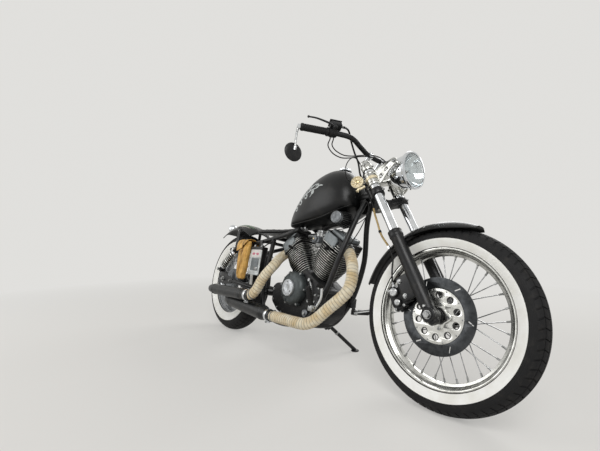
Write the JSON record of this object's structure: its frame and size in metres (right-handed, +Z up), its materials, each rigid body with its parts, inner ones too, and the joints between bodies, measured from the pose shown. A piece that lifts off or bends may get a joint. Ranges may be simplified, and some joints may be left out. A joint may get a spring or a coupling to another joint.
{
  "type": "custom motorcycle",
  "caption": "Custom street motorcycle with a V-twin engine, wire-spoked wheels, solo seat and leather pouch, steerable, leaning on its side stand.",
  "frame": {"origin": "centre of the bounding box on the ground, under the parked machine", "axes": "+X forward along the wheels' line, +Y to the rider's left (the side it leans to), +Z up"},
  "size_m": [2.1922, 0.8886, 1.177],
  "materials": {
    "aluminium": "polished aluminium",
    "black_paint": "satin black tank paint",
    "brass": "dull brass",
    "chrome": "polished chrome",
    "engine_black": "matt black engine enamel",
    "glass": "clear lamp lens",
    "gloss_black": "gloss black paint",
    "grey_plastic": "grey",
    "heat_wrap": "cream exhaust wrap",
    "leather": "tan yellow leather",
    "rubber": "black rubber",
    "satin_black": "satin black powder coat",
    "steel": "bare steel",
    "tyre": "black tyre with cream side walls",
    "vinyl": "black seat cover"
  },
  "bodies": {
    "front_wheel": {"brake_disc": "aluminium", "front_tyre": "tyre", "front_wheel_rim": "chrome"},
    "rear_wheel": {"rear_tyre": "tyre", "rear_wheel_rim": "steel"},
    "fork": {"brake_caliper": "satin_black", "brake_hose": "rubber", "controls_left": "satin_black", "controls_right": "satin_black", "fork_tube_left": "chrome", "fork_tube_right": "chrome", "front_axle": "steel", "front_fender": "satin_black", "grip_left": "rubber", "grip_right": "rubber", "handlebar": "chrome", "headlight": "chrome", "headlight_ear_left": "aluminium", "headlight_ear_right": "aluminium", "headlight_lens": "glass", "horn": "brass", "mirror": "chrome", "slider_left": "satin_black", "slider_right": "satin_black", "yokes": "aluminium"},
    "chassis": {"air_filter": "grey_plastic", "battery_box": "grey_plastic", "carburettor": "steel", "case_cover_left": "grey_plastic", "case_cover_right": "grey_plastic", "engine_case": "engine_black", "final_drive": "engine_black", "foot_control_left": "satin_black", "foot_control_right": "satin_black", "frame": "satin_black", "front_cylinder": "engine_black", "front_pipe": "heat_wrap", "lower_silencer": "satin_black", "pouch": "leather", "rear_axle": "steel", "rear_cylinder": "engine_black", "rear_fender": "gloss_black", "rear_pipe": "heat_wrap", "seat": "vinyl", "shock_left": "steel", "shock_right": "steel", "swingarm": "satin_black", "tail_lamp": "chrome", "tank": "black_paint", "tank_cap": "chrome", "upper_silencer": "satin_black"},
    "side_stand": {"side_stand": "satin_black"}
  },
  "joints": [
    {"name": "steering", "type": "hinge", "parent": "chassis", "child": "fork", "pos_m": [0.35348, -0.01029, 0.83938], "axis": [-0.5299, 0.1643, 0.832], "range_deg": [-35, 35]},
    {"name": "front_wheel_spin", "type": "hinge", "parent": "fork", "child": "front_wheel", "pos_m": [0.75836, -0.11021, 0.33332], "axis": [0, 0.9811, -0.1937], "continuous": true},
    {"name": "rear_wheel_spin", "type": "hinge", "parent": "chassis", "child": "rear_wheel", "pos_m": [-0.76665, -0.11169, 0.32583], "axis": [0, 0.9811, -0.1937], "continuous": true},
    {"name": "stand_swing", "type": "hinge", "parent": "chassis", "child": "side_stand", "pos_m": [0.03336, -0.00616, 0.14789], "axis": [0.1177, 0.7226, 0.6812], "range_deg": [0, 95]}
  ]
}
